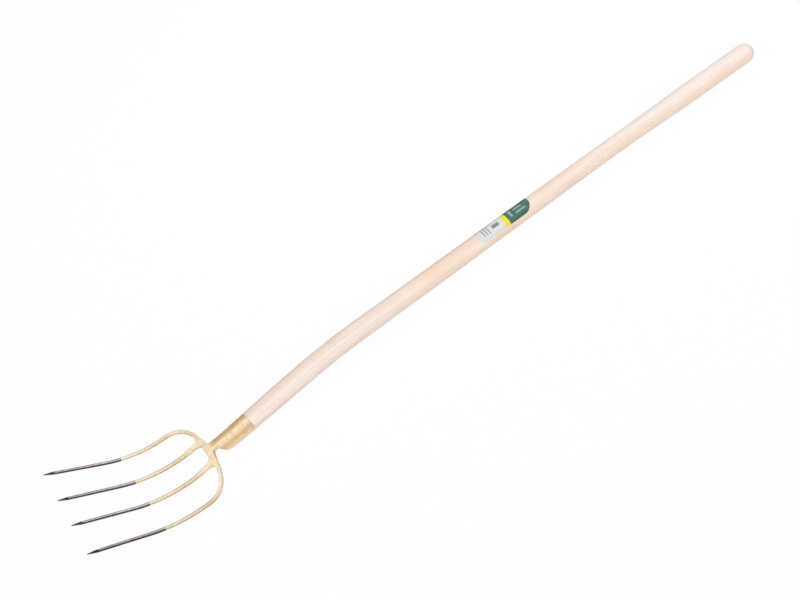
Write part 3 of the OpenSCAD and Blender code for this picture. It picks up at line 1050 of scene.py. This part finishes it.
def lacquer_material():
    """Clear gold lacquer with painted light: painted highlights on upper faces, painted shade on sides,
    brighter on round bars, painted bands of light and shade and mottling on sheet.
    """
    material, tree, shader = new_material("gold_lacquer")
    places = object_places(tree)
    forged = noise(tree, places, FORGE_NOISE)
    up = stored(tree, "up_share")
    rolled = stored(tree, "rolled_share")
    drawn = stored(tree, "round_share")
    # Painted light and shade by how far each face looks up: painted highlights on top, painted shade on the
    # sides
    bar = mix_colour(tree, drawn, ramp(tree, up, FORGED_BAR_PAINTED_LIGHT), ramp(tree, up, LACQUERED_BAR_PAINTED_LIGHT))
    bar = uneven(tree, bar, LACQUER_ACROSS, LACQUER_ALONG)
    # Painted light and shade on the rolled sheet: bright and dark bands by angle round the socket
    turns = [(angle / FULL_TURN_DEGREES + 1 / 2, colour) for angle, colour in SHEET_PAINTED_LIGHT_BANDS]
    gold = mix_colour(tree, rolled, bar, ramp(tree, stored(tree, "turn_share"), turns))
    gold = tinted(tree, gold, noise(tree, places, WASH_NOISE), LACQUER_WASH, WASH_SHARE)
    gold = tinted(tree, gold, forged, FORGE_MARKS, map_range(tree, rolled, MARK_SHARE))
    sheet_metal = map_range(tree, rolled, SHEET_METALLIC)
    bar_metal = map_range(tree, drawn, BAR_METALLIC)
    fill_sockets(tree, shader.inputs, {
        "Base Color": gold,
        "Roughness": map_range(tree, noise(tree, places, SATIN_NOISE), LACQUER_ROUGHNESS),
        "Metallic": math_node(tree, "MAXIMUM", sheet_metal, bar_metal),
        "Normal": bump(tree, forged, LACQUER_BUMP),
    })
    return material


def steel_material():
    material, tree, shader = new_material("bare_steel")
    places = object_places(tree)
    brushed = noise(tree, places, BRUSHED_NOISE)
    # Painted light and shade on the bare points: a painted highlight on top, painted shade on the sides
    steel = uneven(tree, ramp(tree, stored(tree, "up_share"), BARE_BAR_PAINTED_LIGHT), STEEL_ACROSS, STEEL_ALONG)
    fill_sockets(tree, shader.inputs, {
        "Base Color": tinted(tree, steel, noise(tree, places, OIL_NOISE), OIL_WASH, OIL_SHARE),
        "Roughness": map_range(tree, brushed, STEEL_ROUGHNESS),
        "Metallic": STEEL_METALLIC,
        "Normal": bump(tree, brushed, STEEL_BUMP),
    })
    return material


def screw_material():
    material, tree, shader = new_material("zinc_plate")
    grain = noise(tree, object_places(tree), ZINC_NOISE)
    fill_sockets(tree, shader.inputs, {
        "Base Color": ramp(tree, grain, ZINC_TINTS),
        "Roughness": map_range(tree, grain, ZINC_ROUGHNESS),
        "Metallic": ZINC_METALLIC,
    })
    return material


def box_mask(tree, along, across, box):
    """One inside a box of shares along and across the label, and nought outside it."""
    start, end, low, high = box
    between_ends = math_node(tree, "COMPARE", along, (start + end) / 2, (end - start) / 2)
    between_sides = math_node(tree, "COMPARE", across, (low + high) / 2, (high - low) / 2)
    return math_node(tree, "MULTIPLY", between_ends, between_sides)


def label_material():
    material, tree, shader = new_material("printed_film")
    parts = separated(tree, stored(tree, "label_place", "Vector"))
    along, across = parts["X"], parts["Y"]
    worn = noise(tree, object_places(tree), FILM_NOISE)
    green = ramp(tree, worn, GREEN_INK)
    field = mix_colour(tree, math_node(tree, "GREATER_THAN", along, YELLOW_START), PALE_INK, YELLOW_INK)
    field = mix_colour(tree, math_node(tree, "GREATER_THAN", along, GREEN_START), field, green)
    for ink, boxes in PRINTED_BOXES:
        for box in boxes:
            field = mix_colour(tree, box_mask(tree, along, across, box), field, ink)
    fill_sockets(tree, shader.inputs, {
        "Base Color": field,
        "Roughness": map_range(tree, worn, FILM_ROUGHNESS),
    })
    return material


# Pieces

def build_pieces():
    wood = wood_material()
    lacquer = lacquer_material()
    steel = steel_material()
    add_object("ash_handle", "handle", handle_mesh(), wood)
    add_object("rolled_socket", "socket", socket_mesh(), lacquer)
    add_object("forged_bridge", "bridge", bridge_mesh(), lacquer)
    bars = [("lacquered_", "outer_tine_", "gold_lacquer", lacquer, outer_tine_rings),
            ("lacquered_", "inner_tine_", "gold_lacquer", lacquer, inner_tine_rings),
            ("bare_", "outer_point_", "bare_steel", steel, outer_point_rings),
            ("bare_", "inner_point_", "bare_steel", steel, inner_point_rings)]
    for side in (RIGHT, LEFT):
        for finish, bar, slot, look, rings in bars:
            node = bar + SIDE_NAMES[side]
            add_object(finish + node, node, bar_mesh(node, *rings(side)), look)
    add_object("printed_label", "label", label_mesh(), label_material())
    screw = frame["nodes"]["socket_screw"]
    screw.data.materials.clear()
    screw.data.materials.append(screw_material())


# Stage

def add_camera():
    data = bpy.data.cameras.new("camera")
    data.lens = CAMERA_LENS
    camera = place_in_scene("camera", data)
    turn = Matrix.Rotation(-CAMERA_HEADING, MATRIX_SIZE, "Z")
    tilt = Matrix.Rotation(math.pi / 2 + CAMERA_TILT, MATRIX_SIZE, "X")
    roll = Matrix.Rotation(CAMERA_ROLL, MATRIX_SIZE, "Z")
    camera.matrix_world = Matrix.Translation(CAMERA_PLACE) @ turn @ tilt @ roll
    bpy.context.scene.camera = camera


def floor_material():
    """A matt white floor that keeps the shadow, and looks as white as the background."""
    material, tree, shader = new_material("floor_white")
    grey = (FLOOR_GREY, FLOOR_GREY, FLOOR_GREY, 1)
    fill_sockets(tree, shader.inputs, {"Base Color": grey, "Roughness": 1, "Specular IOR Level": 0})
    rays = add_node(tree, "ShaderNodeLightPath").outputs
    seen = math_node(tree, "MAXIMUM", rays["Is Camera Ray"], rays["Is Glossy Ray"])
    seen = math_node(tree, "MAXIMUM", seen, rays["Is Transmission Ray"])
    glow_share = math_node(tree, "MULTIPLY", seen, FLOOR_GLOW)
    glow = add_node(tree, "ShaderNodeEmission", inputs={"Color": opaque(WHITE), "Strength": 1})
    inputs = {"Fac": glow_share, 1: shader.outputs["BSDF"], 2: glow.outputs["Emission"]}
    both = add_node(tree, "ShaderNodeMixShader", inputs=inputs)
    tree.links.new(both.outputs["Shader"], tree.nodes["Material Output"].inputs["Surface"])
    return material


def add_floor():
    half = FLOOR_SIZE / 2
    corners = np.array([(-half, -half, 0), (half, -half, 0), (half, half, 0), (-half, half, 0)])
    mesh = new_mesh("floor", corners, [(0, 1, 2, 3)])
    mesh.materials.append(floor_material())
    floor = place_in_scene("floor", mesh)


def key_direction(height):
    return Vector((-math.sin(KEY_HEADING) * math.cos(height),
                   -math.cos(KEY_HEADING) * math.cos(height),
                   math.sin(height)))


def add_lamp(name, kind, energy, direction):
    """A lamp that shines from a direction."""
    lamp = place_in_scene(name, bpy.data.lights.new(name, kind))
    lamp.data.energy = energy
    lamp.rotation_euler = direction.to_track_quat("Z", "Y").to_euler()
    return lamp


def add_light():
    key = add_lamp("key", "SUN", KEY_ENERGY, key_direction(KEY_HEIGHT))
    key.data.angle = KEY_ANGLE
    kicker = add_lamp("kicker", "AREA", KICKER_ENERGY, Vector(KICKER_PLACE) - Vector(KICKER_AIM))
    kicker.data.size = KICKER_SIZE
    kicker.location = KICKER_PLACE
    kicker.visible_camera = False


def add_world():
    world = bpy.data.worlds.new("studio")
    world.use_nodes = True
    tree = world.node_tree
    direction = add_node(tree, "ShaderNodeTexCoord").outputs["Generated"]
    nearness = add_node(tree, "ShaderNodeVectorMath", {"operation": "DOT_PRODUCT"},
                        {0: direction, 1: key_direction(SKY_HEIGHT)}).outputs["Value"]
    sky = ramp(tree, nearness, SKY_STOPS)
    tree.links.new(sky, tree.nodes["Background"].inputs["Color"])
    bpy.context.scene.world = world


bpy.context.scene.view_settings.view_transform = "Standard"
add_camera()
build_pieces()
add_floor()
add_light()
add_world()
